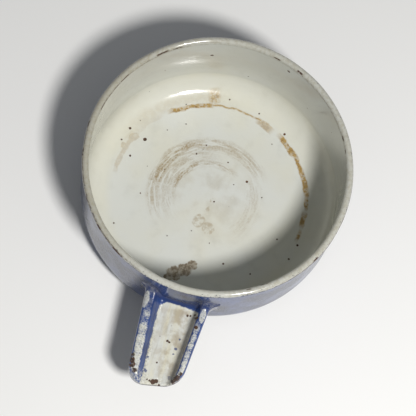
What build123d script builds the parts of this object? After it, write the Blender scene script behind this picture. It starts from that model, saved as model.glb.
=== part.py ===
"""Enamelled pressed-steel shaving bowl with a stub thumb-trough handle.

Frame: the bowl's axis is Z, the standing plane is z = 0 and the handle points along -Y.
Millimetres. Each enamel coat is a solid of its own, fused face to face on the one below it.
A "depth" is a distance below the outer enamel surface, measured square to the sheet.
"""
import os
from math import cos, radians, sin, sqrt

from build123d import *

os.makedirs("parts", exist_ok=True)

# ---------------------------------------------------------------- driving dimensions
rim_radius = 55.0  # outside of the beaded rim
bowl_height = 45.0  # standing plane to the crest of the bead
bead_radius = 1.4  # enamelled bead
wall_radius_low = 54.4  # outside of the wall just above the base fillet
base_fillet = 11.0  # outside radius between wall and base
ring_inner_radius = 36.0  # the base is flat from here out to the fillet
base_rise = 1.4  # how far the middle of the base stands clear of the standing plane

steel = 0.6  # sheet thickness
ground = 0.1  # dark first coat, each side
cover = 0.25  # white or blue cover coat, each side
curl_gap = 0.25  # slit where the curled edge comes back to the wall

handle_reach = 89.5  # bowl axis to the tip of the handle
handle_top = 28.0  # height of the crests above the standing plane
skirt_drop = 7.0  # crests down to the edge of the turned-down skirts
root_half_width = 13.4
tip_half_width = 10.4
trough_root_half = 7.5  # flat floor of the trough
trough_tip_half = 5.2
trough_drop = 5.0  # crests down to the trough floor
slope_run = 2.0  # sideways run of the trough's inner slopes
crest_radius = 1.8
trough_corner_radius = 2.5
tip_corner_radius = 4.8  # seen from above
tip_roll_radius = 4.0  # seen from the side, where the crests roll over the tip
weld_leg = 1.2  # leg of the fillet weld on each side of the handle's root
cover_blend = 2.0  # fillet of the cover coat over the welds and round the rest of the root

# ---------------------------------------------------------------- depths of the layers
under_cover = cover
on_steel = cover + ground
under_steel = on_steel + steel
on_lining = under_steel + ground
sheet_total = on_lining + cover

bead_centre = (rim_radius - bead_radius, bowl_height - bead_radius)
wall_radius_high = rim_radius - 2 * bead_radius + sheet_total
handle_root = wall_radius_high - 3.0  # the handle's sections start inside the bowl wall
skirt_edge = handle_top - skirt_drop
past = 8.0  # how far a cutting solid runs on past what it cuts


# ---------------------------------------------------------------- bowl sections, in the X-Z plane
def bowl_face(depth):
    """Half-section that fills the bowl's outline at this depth, up to the middle of the bead."""
    fillet_radius = base_fillet - depth
    fillet_x = wall_radius_low - base_fillet
    bend = radians(45)
    centre = (0, base_rise + depth)
    ring_in = (ring_inner_radius, depth)
    ring_out = (fillet_x, depth)
    mid_fillet = (fillet_x + fillet_radius * sin(bend), base_fillet - fillet_radius * cos(bend))
    wall_foot = (wall_radius_low - depth, base_fillet)
    wall_head = (wall_radius_high - depth, bead_centre[1])
    axis_top = (0, bead_centre[1])
    with BuildSketch() as section:
        with BuildLine():
            Spline(centre, ring_in, tangents=[(1, 0), (1, 0)])
            Line(ring_in, ring_out)
            ThreePointArc(ring_out, mid_fillet, wall_foot)
            Line(wall_foot, wall_head)
            Line(wall_head, axis_top)
            Line(axis_top, centre)
        make_face()
    return section.sketch


def bead_face(depth):
    """Disc of the bead at this depth."""
    with BuildSketch() as section:
        with Locations(bead_centre):
            Circle(bead_radius - depth)
    return section.sketch


def box_face(left, bottom, right, top):
    """Upright rectangle between two corners."""
    with BuildSketch() as section:
        with Locations(((left + right) / 2, (bottom + top) / 2)):
            Rectangle(right - left, top - bottom)
    return section.sketch


def sheet_face(outer_depth, inner_depth):
    """Section of the pressed sheet between two depths, with its bead filled."""
    return bowl_face(outer_depth) - bowl_face(inner_depth) + bead_face(outer_depth)


def inside_curl():
    """Air inside the curled edge, and the slit that leads out of it down to the steel's lowest point."""
    wall_face = rim_radius - 2 * bead_radius + sheet_total - on_steel
    lowest_steel = bead_centre[1] - bead_radius + on_steel
    return bead_face(under_steel) + box_face(wall_face, lowest_steel, wall_face + curl_gap, bead_centre[1])


def outer_coat_face():
    """Half-plane part of the outer cover coat that is blue: outside the sheet and below the bead's middle."""
    below_bead = box_face(0, -past, rim_radius + past, bead_centre[1])
    return (sheet_face(0, under_cover) & below_bead) - bead_face(under_cover) - bowl_face(under_cover)


# ---------------------------------------------------------------- handle forms
def trough_section(half_width, floor_half, depth, bottom):
    """M-shaped section of the handle at this depth, filled down to this height."""
    crest = handle_top
    lip = floor_half + slope_run
    floor = handle_top - trough_drop
    with BuildSketch() as section:
        with BuildLine():
            Polyline(
                (-half_width, bottom - past),
                (-half_width, crest),
                (-lip, crest),
                (-floor_half, floor),
                (floor_half, floor),
                (lip, crest),
                (half_width, crest),
                (half_width, bottom - past),
                close=True,
            )
        make_face()
        upper = section.vertices().filter_by(lambda v: v.Y > bottom)
        fillet(upper.filter_by(lambda v: v.Y > floor + 1), crest_radius)
        low = section.vertices().filter_by(lambda v: abs(v.Y - floor) < 0.01)
        fillet(low.filter_by(lambda v: abs(abs(v.X) - floor_half) < 0.01), trough_corner_radius)
        offset(amount=-depth, kind=Kind.INTERSECTION, mode=Mode.REPLACE)
        with Locations((0, bottom - past)):
            Rectangle(4 * half_width, 2 * past, mode=Mode.SUBTRACT)
    return section.sketch


def handle_form(depth, bottom):
    """Solid that fills the handle's outline at this depth, from inside the bowl wall to the tip."""
    reach = handle_reach - depth
    far = handle_reach + past
    stretch = (far - handle_root) / (handle_reach - handle_root)
    far_half = root_half_width + (tip_half_width - root_half_width) * stretch
    far_floor = trough_root_half + (trough_tip_half - trough_root_half) * stretch
    with BuildPart(mode=Mode.PRIVATE) as form:
        with BuildSketch(Plane.XZ.offset(handle_root)):
            add(trough_section(root_half_width, trough_root_half, depth, bottom))
        with BuildSketch(Plane.XZ.offset(far)):
            add(trough_section(far_half, far_floor, depth, bottom))
        loft(ruled=True)
        with BuildSketch() as seen_from_above:
            with BuildLine():
                Polyline(
                    (-root_half_width + depth, -handle_root),
                    (-tip_half_width + depth, -reach),
                    (tip_half_width - depth, -reach),
                    (root_half_width - depth, -handle_root),
                    close=True,
                )
            make_face()
            fillet(seen_from_above.vertices().group_by(Axis.Y)[0], tip_corner_radius - depth)
        extrude(amount=2 * bowl_height, mode=Mode.INTERSECT)
        with BuildSketch(Plane.YZ) as seen_from_side:
            with BuildLine():
                Polyline(
                    (-reach, bottom - past),
                    (-reach, handle_top - depth),
                    (0, handle_top - depth),
                    (0, bottom - past),
                    close=True,
                )
            make_face()
            fillet(seen_from_side.vertices().group_by(Axis.Y)[-1].sort_by(Axis.X)[0], tip_roll_radius - depth)
        extrude(amount=2 * root_half_width, both=True, mode=Mode.INTERSECT)
    return form.part


def bowl_form(depth):
    """Solid that fills the bowl's outline at this depth."""
    with BuildPart(mode=Mode.PRIVATE) as form:
        with BuildSketch(Plane.XZ):
            add(bowl_face(depth))
        revolve(axis=Axis.Z)
    return form.part


def blended_root(depth, radius):
    """Handle outline at this depth, with a fillet running into the bowl's outline and its skirts cut level."""
    tall_bottom = skirt_edge - past
    bowl = bowl_form(depth)
    with BuildPart(mode=Mode.PRIVATE) as blend:
        add(bowl)
        add(handle_form(depth, tall_bottom))
        seam = blend.edges().filter_by(
            lambda edge: tall_bottom + 0.1 < (edge @ 0.5).Z < handle_top + 0.1
            and -rim_radius < (edge @ 0.5).Y < -handle_root
            and abs((edge @ 0.5).X) < root_half_width
        )
        fillet(seam, radius)
        with BuildSketch(Plane.XY.offset(skirt_edge + depth)):
            Rectangle(4 * rim_radius, 4 * rim_radius)
        extrude(amount=-2 * bowl_height, mode=Mode.SUBTRACT)
        add(bowl, mode=Mode.SUBTRACT)
    return blend.part


def weld_prisms(depth, leg):
    """Upright three-cornered bars, one each side of the root, that run on into the skirt and the wall."""
    skirt_x = root_half_width - depth - slope_run * 0.1
    wall_y = -sqrt(wall_radius_low**2 - skirt_x**2) + depth
    wall_end_y = -sqrt(wall_radius_low**2 - (skirt_x + leg) ** 2) + depth
    low = skirt_edge + depth
    high = handle_top - 1.2 * crest_radius
    with BuildPart(mode=Mode.PRIVATE) as bars:
        with BuildSketch(Plane.XY.offset(low)):
            with BuildLine():
                Polyline(
                    (skirt_x, wall_y - leg),
                    (skirt_x + leg, wall_end_y),
                    (skirt_x + leg, wall_end_y + leg),
                    (skirt_x - leg, wall_y + leg),
                    (skirt_x - leg, wall_y - leg),
                    close=True,
                )
            make_face()
            mirror(about=Plane.YZ)
        extrude(amount=high - low + depth)
    return bars.part


def handle_hollow(depth):
    """Air and layers under the handle's sheet, below this depth, open at the bottom."""
    return handle_form(depth, skirt_edge - past)


# ---------------------------------------------------------------- pressed steel
with BuildPart() as bowl_pressing:
    with BuildSketch(Plane.XZ):
        add(sheet_face(on_steel, under_steel))
        add(inside_curl(), mode=Mode.SUBTRACT)
    revolve(axis=Axis.Z)

with BuildPart() as handle_pressing:
    add(handle_form(on_steel, skirt_edge + on_steel))
    add(handle_hollow(under_steel), mode=Mode.SUBTRACT)
    add(bowl_form(on_steel), mode=Mode.SUBTRACT)

with BuildPart() as handle_weld_beads:
    add(weld_prisms(on_steel, weld_leg))
    add(handle_hollow(on_steel), mode=Mode.SUBTRACT)
    add(bowl_form(on_steel), mode=Mode.SUBTRACT)

# ---------------------------------------------------------------- ground coats
with BuildPart() as bowl_ground_coat:
    with BuildSketch(Plane.XZ):
        add(sheet_face(under_cover, on_lining))
        add(sheet_face(on_steel, under_steel), mode=Mode.SUBTRACT)
    revolve(axis=Axis.Z)
    add(handle_pressing.part, mode=Mode.SUBTRACT)
    add(handle_weld_beads.part, mode=Mode.SUBTRACT)

ground_leg = weld_leg - ground * (2 - sqrt(2))
handle_under_cover = (
    handle_form(under_cover, skirt_edge + under_cover)
    + weld_prisms(under_cover, ground_leg)
    - handle_hollow(on_lining)
    - bowl_form(under_cover)
)

with BuildPart() as handle_ground_coat:
    add(handle_under_cover)
    add(handle_pressing.part, mode=Mode.SUBTRACT)
    add(handle_weld_beads.part, mode=Mode.SUBTRACT)

# ---------------------------------------------------------------- cover coats
with BuildPart() as bowl_white_lining:
    with BuildSketch(Plane.XZ):
        add(sheet_face(0, sheet_total))
        add(sheet_face(under_cover, on_lining), mode=Mode.SUBTRACT)
        add(outer_coat_face(), mode=Mode.SUBTRACT)
    revolve(axis=Axis.Z)

with BuildPart() as bowl_blue_jacket:
    with BuildSketch(Plane.XZ):
        add(outer_coat_face())
    revolve(axis=Axis.Z)
    add(handle_under_cover, mode=Mode.SUBTRACT)
    add(handle_weld_beads.part, mode=Mode.SUBTRACT)

with BuildPart(mode=Mode.PRIVATE) as over_trough:
    with BuildSketch(Plane.XY.offset(handle_top - trough_drop - 1.2 * under_cover)):
        with BuildLine():
            Polyline(
                (-trough_root_half, -handle_root),
                (-trough_tip_half, -handle_reach - past),
                (trough_tip_half, -handle_reach - past),
                (trough_root_half, -handle_root),
                close=True,
            )
        make_face()
    extrude(amount=bowl_height)

handle_core = handle_under_cover + handle_pressing.part + handle_weld_beads.part
handle_cover = blended_root(0, cover_blend) - handle_hollow(sheet_total) - handle_core

with BuildPart() as handle_white_panel:
    add(handle_cover)
    add(over_trough.part, mode=Mode.INTERSECT)

with BuildPart() as handle_blue_coat:
    add(handle_cover)
    add(over_trough.part, mode=Mode.SUBTRACT)

# ---------------------------------------------------------------- one STEP file for each piece
pieces = {
    "bowl_pressing": bowl_pressing,
    "handle_pressing": handle_pressing,
    "handle_weld_beads": handle_weld_beads,
    "bowl_ground_coat": bowl_ground_coat,
    "handle_ground_coat": handle_ground_coat,
    "bowl_white_lining": bowl_white_lining,
    "bowl_blue_jacket": bowl_blue_jacket,
    "handle_white_panel": handle_white_panel,
    "handle_blue_coat": handle_blue_coat,
}
for name, piece in pieces.items():
    piece.part.label = name
    export_step(piece.part, f"parts/{name}.step")
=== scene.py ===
"""Looks of the worn enamelled shaving mug: its layers, their wear, the light and the camera.

Every length in this script is in millimetres in the mug's own frame and is turned into metres
where a mesh, lamp or camera is made.
"""
import math

import bpy
import numpy as np
from mathutils import Matrix, Vector, noise


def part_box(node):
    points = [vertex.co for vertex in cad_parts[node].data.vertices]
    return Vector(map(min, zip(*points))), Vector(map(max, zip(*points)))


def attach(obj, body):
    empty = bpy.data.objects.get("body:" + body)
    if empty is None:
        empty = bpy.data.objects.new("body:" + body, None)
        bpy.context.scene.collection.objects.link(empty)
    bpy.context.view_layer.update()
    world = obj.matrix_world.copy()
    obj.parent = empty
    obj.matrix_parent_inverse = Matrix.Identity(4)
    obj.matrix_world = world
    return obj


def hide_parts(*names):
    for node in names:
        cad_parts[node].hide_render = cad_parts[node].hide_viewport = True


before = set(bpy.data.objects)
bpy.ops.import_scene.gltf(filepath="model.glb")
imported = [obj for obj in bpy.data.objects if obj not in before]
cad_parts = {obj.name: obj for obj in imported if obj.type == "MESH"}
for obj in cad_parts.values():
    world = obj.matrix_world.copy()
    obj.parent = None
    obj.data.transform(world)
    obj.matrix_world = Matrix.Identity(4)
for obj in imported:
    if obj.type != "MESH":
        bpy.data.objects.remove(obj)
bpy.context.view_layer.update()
MM = 0.001

# ---------------------------------------------------------------- sizes read from the frame
_, lining_high = (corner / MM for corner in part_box("bowl_white_lining"))
_, jacket_high = (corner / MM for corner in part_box("bowl_blue_jacket"))
handle_low, _ = (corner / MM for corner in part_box("handle_blue_coat"))

rim_radius = lining_high.x
crest_height = lining_high.z
bead_radius = crest_height - jacket_high.z
bead_r = rim_radius - bead_radius
bead_z = crest_height - bead_radius
bead_foot = bead_z - bead_radius  # where the outside of the wall ends

COVER = 0.25  # cover coat
GROUND = 0.1  # dark first coat
SHEET = 1.3  # the whole wall: steel and its coats
BASE_RISE = 1.4  # middle of the base above the standing plane
RING_INNER = 36.0  # where the rise of the base ends
FILLET = 11.0  # outside fillet between wall and base
WALL_LOW = rim_radius - 0.6  # outside of the wall above the base fillet
WALL_HIGH = rim_radius - 2 * bead_radius + SHEET
FLOOR_RING = WALL_LOW - FILLET

HANDLE_TIP = -handle_low.y
SKIRT_EDGE = handle_low.z
SKIRT_DROP, TROUGH_DEPTH = 7.0, 5.0  # below the handle's crests
CREST_TOP = SKIRT_EDGE + SKIRT_DROP
TROUGH_FLOOR = CREST_TOP - TROUGH_DEPTH
ROOT_HALF, TIP_HALF = 13.3, 10.4  # half widths of the handle
ROOT_FLOOR_HALF, TIP_FLOOR_HALF = 7.5, 5.3  # half widths of the trough's floor

SEGMENTS, HIDDEN_SEGMENTS = 480, 180  # around the bowl, for the enamel and for the layers in it
JACKET_STEPS, LINING_STEPS, HIDDEN_STEPS = (1.6, 1.2), (1.4, 0.9), (3.0, 2.0)  # over floor and wall
FEWEST_STEPS = 6
AXIS_GAP = 0.6  # where a profile starts, beside the axis

# ---------------------------------------------------------------- the mug is not quite true
OVAL, OVAL_SKEW = -0.006, -0.004  # shares of the radius, at the rim
SWAY_X, SWAY_Y = -1.2, 0.6  # how far the base is off from under the rim
KNOCK, KNOCK_SIZE = 0.30, 34.0  # broad dents and how wide they are
RIPPLE_OUT, RIPPLE_UP = 0.14, 0.16  # unevenness of the rim
RIPPLE_SIZE, RIPPLE_REACH = 9.0, 8.0  # how wide it is and how far down it goes
RIPPLE_PLACE = Vector((40, 7, 3))  # where it is taken from the noise
NOISE_SEED = 7
noise.seed_set(NOISE_SEED)  # or else the clock seeds noise_vector, and the dents change each run


def out_of_true(point):
    """Moves a point of the true shape to where the used, slightly knocked mug has it."""
    x, y, z = point
    up = min(max(z / crest_height, 0.0), 1.0)
    angle = math.atan2(y, x)
    oval = up * (OVAL * math.cos(2 * angle) + OVAL_SKEW * math.sin(2 * angle))
    sway_x, sway_y = SWAY_X * (1.0 - up), SWAY_Y * (1.0 - up)
    knock = noise.noise_vector(Vector((x, y, z)) / KNOCK_SIZE)
    near_rim = max(0.0, (z - crest_height + RIPPLE_REACH) / RIPPLE_REACH)
    ripple = noise.noise_vector(Vector((x, y, 0.0)) / RIPPLE_SIZE + RIPPLE_PLACE)
    push = KNOCK * up
    return (
        x * (1 + oval) + sway_x + push * knock.x + RIPPLE_OUT * near_rim * ripple.x,
        y * (1 + oval) + sway_y + push * knock.y + RIPPLE_OUT * near_rim * ripple.y,
        z + RIPPLE_UP * near_rim * ripple.z,
    )


def finish_mesh(name, verts, faces, body="root"):
    """Object from true-shape vertices in millimetres, which it also keeps as the attribute 'true_mm'."""
    mesh = bpy.data.meshes.new(name)
    mesh.from_pydata([Vector(out_of_true(v)) * MM for v in verts], [], faces)
    mesh.validate()
    mesh.update()
    attribute = mesh.attributes.new("true_mm", "FLOAT_VECTOR", "POINT")
    attribute.data.foreach_set("vector", np.array(verts, np.float32).ravel())
    mesh.shade_smooth()
    piece = bpy.data.objects.new(name, mesh)
    bpy.context.scene.collection.objects.link(piece)
    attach(piece, body)
    return piece


# ---------------------------------------------------------------- turned profiles: (radius, height)
def base_height(radius, depth):
    """Height of the base at this radius, this far above the underside."""
    share = min(max(radius / RING_INNER, 0.0), 1.0)
    smooth = share * share * (3 - 2 * share)
    return BASE_RISE * (1 - smooth) + depth


def bowl_profile(depth, floor_step, wall_step, top):
    """From near the axis, over the base, round the fillet and up the wall to this height."""
    points = []
    radius = AXIS_GAP
    while radius < FLOOR_RING:
        points.append((radius, base_height(radius, depth)))
        radius += floor_step
    turn = FILLET - depth
    steps = max(FEWEST_STEPS, int(turn * math.pi / 2 / wall_step))
    for i in range(steps + 1):
        bend = math.pi / 2 * i / steps
        points.append((FLOOR_RING + turn * math.sin(bend), FILLET - turn * math.cos(bend)))
    steps = max(FEWEST_STEPS, int((top - FILLET) / wall_step))
    for i in range(1, steps + 1):
        z = FILLET + (top - FILLET) * i / steps
        lean = (z - FILLET) / (bead_z - FILLET)
        points.append((WALL_LOW + (WALL_HIGH - WALL_LOW) * lean - depth, z))
    return points


def bead_arc(radius, start, end, steps):
    """Arc of the bead between two angles in degrees; 0 is outward, 90 is up."""
    turn = [math.radians(start + (end - start) * i / steps) for i in range(steps + 1)]
    return [(bead_r + radius * math.cos(a), bead_z + radius * math.sin(a)) for a in turn]


def turned(name, profile, segments):
    """Solid of revolution from a profile whose first and last points lie by the axis."""
    verts, faces = [], []
    rows = len(profile)
    for radius, height in profile:
        for i in range(segments):
            angle = 2 * math.pi * i / segments
            verts.append((radius * math.cos(angle), radius * math.sin(angle), height))
    for row in range(rows - 1):
        for i in range(segments):
            a, b = row * segments + i, row * segments + (i + 1) % segments
            faces.append((a, b, b + segments, a + segments))
    for row, flip in ((0, True), (rows - 1, False)):
        centre = len(verts)
        verts.append((0.0, 0.0, profile[row][1]))
        for i in range(segments):
            a, b = row * segments + i, row * segments + (i + 1) % segments
            faces.append((centre, b, a) if flip else (centre, a, b))
    return finish_mesh(name, verts, faces)


# ---------------------------------------------------------------- node shorthand
class Shader:
    """A material's node tree, with one short call for each kind of node."""

    def __init__(self, name):
        self.material = bpy.data.materials.new(name)
        self.material.use_nodes = True
        self.tree = self.material.node_tree
        self.bsdf = self.tree.nodes["Principled BSDF"]
        self.true = self.node("ShaderNodeAttribute", attribute_name="true_mm").outputs["Vector"]

    def node(self, kind, **settings):
        made = self.tree.nodes.new(kind)
        for key, value in settings.items():
            setattr(made, key, value)
        return made

    def feed(self, socket, value):
        if isinstance(value, bpy.types.NodeSocket):
            self.tree.links.new(value, socket)
        elif isinstance(value, (tuple, list)) and len(value) == 3 and socket.type == "RGBA":
            socket.default_value = (*value, 1.0)
        else:
            socket.default_value = value

    def math(self, operation, a, b=0.0, c=0.0, clamp=False):
        made = self.node("ShaderNodeMath", operation=operation, use_clamp=clamp)
        for socket, value in zip(made.inputs, (a, b, c)):
            self.feed(socket, value)
        return made.outputs[0]

    def vector(self, operation, a, b=(0.0, 0.0, 0.0), scale=1.0):
        made = self.node("ShaderNodeVectorMath", operation=operation)
        self.feed(made.inputs[0], a)
        if operation == "SCALE":
            made.inputs["Scale"].default_value = scale
        else:
            self.feed(made.inputs[1], b)
        return made.outputs["Value" if operation == "DISTANCE" else "Vector"]

    def split(self, value):
        made = self.node("ShaderNodeSeparateXYZ")
        self.feed(made.inputs[0], value)
        return made.outputs

    def join(self, x, y, z):
        made = self.node("ShaderNodeCombineXYZ")
        for socket, value in zip(made.inputs, (x, y, z)):
            self.feed(socket, value)
        return made.outputs[0]

    def noise(self, size, detail=4.0, rough=0.55, at=None, colour=False):
        """Noise whose features are about this many millimetres across."""
        made = self.node("ShaderNodeTexNoise")
        self.feed(made.inputs["Vector"], at or self.true)
        made.inputs["Scale"].default_value = 1.0 / size
        made.inputs["Detail"].default_value = detail
        made.inputs["Roughness"].default_value = rough
        return made.outputs["Color" if colour else "Fac"]

    def ramp(self, value, low, high, out_low=0.0, out_high=1.0):
        """Smooth step from one value to another."""
        made = self.node("ShaderNodeMapRange", interpolation_type="SMOOTHSTEP", clamp=True)
        for socket, number in zip(made.inputs, (value, low, high, out_low, out_high)):
            self.feed(socket, number)
        return made.outputs[0]

    def mix(self, share, a, b):
        made = self.node("ShaderNodeMix", data_type="RGBA", clamp_factor=True)
        self.feed(made.inputs[0], share)
        self.feed(made.inputs[6], a)
        self.feed(made.inputs[7], b)
        return made.outputs[2]

    def chain(self, operation, values):
        """The operation worked along two or more values, from the first."""
        result = values[0]
        for value in values[1:]:
            result = self.math(operation, result, value)
        return result

    def plus(self, *values):
        return self.chain("ADD", values)

    def minus(self, *values):
        return self.chain("SUBTRACT", values)

    def times(self, *values):
        return self.chain("MULTIPLY", values)

    def most(self, *values):
        return self.chain("MAXIMUM", values)

    def least(self, *values):
        return self.chain("MINIMUM", values)

    def shaken(self, size, reach):
        """The true position, moved about by noise so that an edge drawn with it is ragged."""
        colour = self.noise(size, 3.0, 0.6, colour=True)
        centred = self.vector("SUBTRACT", colour, (0.5, 0.5, 0.5))
        return self.vector("ADD", self.true, self.vector("SCALE", centred, scale=2 * reach))

    def bump(self, height, depth_mm, normal=None):
        made = self.node("ShaderNodeBump")
        made.inputs["Strength"].default_value = 1.0
        made.inputs["Distance"].default_value = depth_mm * MM
        self.feed(made.inputs["Height"], height)
        if normal is not None:
            self.feed(made.inputs["Normal"], normal)
        return made.outputs[0]


def polar(shader, position):
    """Radius and angle in degrees of a position, seen along the bowl's axis, and its height."""
    x, y, z = shader.split(position)
    radius = shader.math("SQRT", shader.plus(shader.times(x, x), shader.times(y, y)))
    angle = shader.math("DEGREES", shader.math("ARCTAN2", y, x))
    return radius, angle, z


def arc_window(shader, angle, start, end, soft):
    """1 between two angles in degrees, counted the way that rises, fading over a few degrees."""
    middle = (start + end) / 2
    half = (end - start) / 2
    wrapped = shader.math("WRAP", shader.minus(angle, middle), 180.0, -180.0)
    return shader.ramp(shader.math("ABSOLUTE", wrapped), half + soft, half - soft)


def band(shader, value, middle, half, soft):
    """1 where a value is within half of the middle."""
    away = shader.math("ABSOLUTE", shader.minus(value, middle))
    return shader.ramp(away, half + soft, max(half - soft, 0.0))


def spots(shader, position, places):
    """Union of ragged round spots. Each place is (x, y, z, radius)."""
    masks = []
    for x, y, z, radius in places:
        away = shader.vector("DISTANCE", position, (x, y, z))
        masks.append(shader.ramp(away, radius, radius * 0.8))
    return shader.most(*masks)


def plan_spots(shader, position, places):
    """The same for spots laid out in plan, whatever their height. Each place is (x, y, radius)."""
    flat = shader.vector("MULTIPLY", position, (1.0, 1.0, 0.0))
    return spots(shader, flat, [(x, y, 0.0, radius) for x, y, radius in places])


# ---------------------------------------------------------------- colours, linear
WHITE = (0.64, 0.655, 0.63)
CREAM = (0.66, 0.635, 0.50)
GREY = (0.40, 0.40, 0.36)
BLUE = (0.034, 0.072, 0.235)
NAVY = (0.011, 0.016, 0.055)
LILAC = (0.072, 0.075, 0.092)
OCHRE = (0.40, 0.265, 0.085)
TEA = (0.33, 0.255, 0.15)
CHIP = (0.030, 0.018, 0.014)
RUST = (0.115, 0.052, 0.024)
NEAR_LIGHT, NEAR_DARK = (0.20, 0.14, 0.07), (0.09, 0.065, 0.04)  # the brown patch above the handle
SOIL_DARK, SOIL_LIGHT = (0.30, 0.28, 0.22), (0.44, 0.42, 0.34)  # on the bead
CREASE_LIGHT = (0.10, 0.06, 0.055)
# painted shade colour for the trough's right corner
TROUGH_SHADE = (0.21, 0.20, 0.175)
STEEL, STEEL_DARK = (0.42, 0.41, 0.40), (0.10, 0.06, 0.04)
WELD, WELD_DARK = (0.36, 0.35, 0.34), (0.09, 0.07, 0.06)
PAPER_DARK, PAPER_LIGHT = (0.83, 0.83, 0.83), (0.86, 0.86, 0.86)
ROOM, ROOM_STRENGTH = (0.95, 0.98, 1.0), 0.2
LAMP = (1.0, 0.985, 0.95)


# ---------------------------------------------------------------- where the marks are
# Azimuths are in degrees from +X towards +Y. A place in plan is (x, y, radius).
FLOOR_SPOTS = (  # on the floor and the fillet
    (-33, 17, 0.85), (-37, 8, 0.5), (-40.5, 20, 0.6), (-42.5, 14, 0.4), (-10, 17, 0.42), (-7, 22, 0.35),
    (4, 17, 0.35), (-35, -23, 0.4), (14, -27, 0.5), (3, -2, 0.42), (26, -28, 0.42), (33, -10, 0.4),
    (11, 43, 0.4), (-3, 45.5, 0.4), (42, -10, 0.55), (40, -17, 0.5), (20, 31, 0.28), (-18, 29, 0.3),
    (9, 8, 0.25), (-21, 6, 0.25), (22, 6, 0.3), (-12, -22, 0.3), (-25, 24, 0.28), (6, -20, 0.25),
)
RUST_SPOTS = ((14, 11, 0.6), (24, 37, 0.55), (-28, -7, 0.35))
WALL_CHIPS = (  # (azimuth, height, radius)
    (107, 31, 0.75), (71, 39, 0.8), (128, 22, 0.3), (88, 14, 0.35), (38, 30, 0.3), (56, 20, 0.3),
)
RIM_CHIPS = (  # (azimuth, bead angle, half length in degrees, half width in degrees)
    (168, 168, 3.5, 16), (160, 172, 4.0, 14), (152, 165, 2.5, 12), (131, 150, 3.0, 14), (124, 160, 2.0, 10),
    (78, 160, 1.6, 12), (66, 140, 1.5, 18), (29, 165, 1.2, 22), (23, 170, 1.0, 18), (-9, 10, 1.4, 25),
    (-30, 30, 1.3, 22), (-55, 150, 1.8, 14), (-62, 120, 1.0, 10), (-121, 20, 3.0, 22), (-134, 25, 1.6, 18),
    (-147, 20, 1.2, 16), (-100, 150, 1.2, 10), (-168, 30, 1.6, 20), (179, 25, 1.4, 22),
)
BEAD_CREASES = (  # (bead angle, half width, softness, from azimuth, to azimuth, softness)
    (171.0, 5.0, 3.0, 116, 176, 6), (168.0, 4.0, 3.0, 8, 72, 8),
    (24.0, 7.0, 4.0, -44, 22, 8), (40.0, 8.0, 5.0, 176, 250, 8),
)
SOAP_RINGS = (  # (radius, half width, from azimuth, to azimuth, strength)
    (41.6, 1.0, 103, 129, 1.0), (41.8, 0.4, 70, 106, 0.9), (41.2, 1.5, 64, 74, 0.6),
    (41.6, 1.25, 44, 58, 1.0), (41.8, 0.8, 30, 46, 1.0), (41.9, 1.2, 18, 33, 1.0),
    (42.0, 0.8, 9, 20, 1.0), (41.6, 1.2, -2, 6, 1.0), (41.8, 0.8, -11, -5, 1.0),
    (41.4, 0.9, 156, 180, 0.32), (42.5, 1.8, 134, 160, 0.15),
)
BLOTS = ((-1, -12, 3.2), (4, -14, 3.0), (2, -6, 1.6), (2, -2, 1.1))
NEAR_PATCH = ((-5, -37, 3.4), (-1, -34, 3.2), (1.5, -31.5, 2.4), (-6.5, -39, 2.2))
LEFT_PATCH = ((-38, 17, 2.2), (-41, 12, 1.4))
HANDLE_SPOTS = ((0.5, -70.4, 0.55), (1.4, -70.7, 0.5), (-1.1, -80.0, 0.4), (5.4, -58.2, 0.6))
BLUE_FLECKS = (
    (5.0, -68.6, 0.5), (4.6, -72.6, 0.7), (4.2, -75.0, 0.4), (-5.2, -79.0, 0.5), (-4.6, -84.5, 0.8),
    (5.4, -84.6, 0.9),
)
HANDLE_CHIPS = (
    (9.9, -63.0, 0.85), (-0.5, -87.9, 1.2), (0.7, -87.3, 0.9), (-1.9, -87.8, 0.45), (-3.0, -87.6, 0.35),
    (2.2, -88.6, 0.5), (9.0, -59.0, 0.7), (8.2, -57.5, 0.5), (6.6, -58.0, 0.45),
)
TIP_RUST = (
    (-11.0, -80.5, 0.9), (-10.9, -82.5, 1.3), (-10.2, -84.5, 1.4), (-8.8, -86.5, 1.1), (8.9, -83.0, 0.9),
    (8.2, -84.6, 1.2), (7.2, -86.0, 1.1),
)
# painted highlights on the crests beside the root, each (x, y, z, radius)
ROOT_SHINES = ((-12.6, -24.3, CREST_TOP, 1.7), (11.2, -24.3, CREST_TOP, 1.4))  # y is shortened


def wall_place(azimuth, z, radius):
    """A place on the inside of the wall."""
    lean = (z - FILLET) / (bead_z - FILLET)
    reach = WALL_LOW + (WALL_HIGH - WALL_LOW) * lean - SHEET
    turn = math.radians(azimuth)
    return (reach * math.cos(turn), reach * math.sin(turn), z, radius)


def pinholes(shader, spacing, size, share):
    """Tiny dark pits, one in some of the cells of this size."""
    cells = shader.node("ShaderNodeTexVoronoi", feature="F1")
    shader.feed(cells.inputs["Vector"], shader.true)
    cells.inputs["Scale"].default_value = 1.0 / spacing
    chance, width, _ = shader.split(cells.outputs["Color"])
    inside = shader.math("LESS_THAN", cells.outputs["Distance"], shader.times(width, size / spacing))
    return shader.times(inside, shader.math("LESS_THAN", chance, share))


def glaze(shader, colour, rough, height, depth_mm):
    """Joins colour, roughness and relief to a shader set up as fused glass."""
    shader.feed(shader.bsdf.inputs["Base Color"], colour)
    shader.feed(shader.bsdf.inputs["Roughness"], rough)
    shader.bsdf.inputs["IOR"].default_value = 1.52
    shader.bsdf.inputs["Coat Weight"].default_value = 0.25
    shader.bsdf.inputs["Coat Roughness"].default_value = 0.06
    peel = shader.bump(shader.noise(2.6, 2.0, 0.4), 0.035)
    fine = shader.bump(shader.noise(0.5, 2.0, 0.5), 0.004, peel)
    shader.feed(shader.bsdf.inputs["Normal"], shader.bump(height, depth_mm, fine))
    return shader.material


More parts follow.
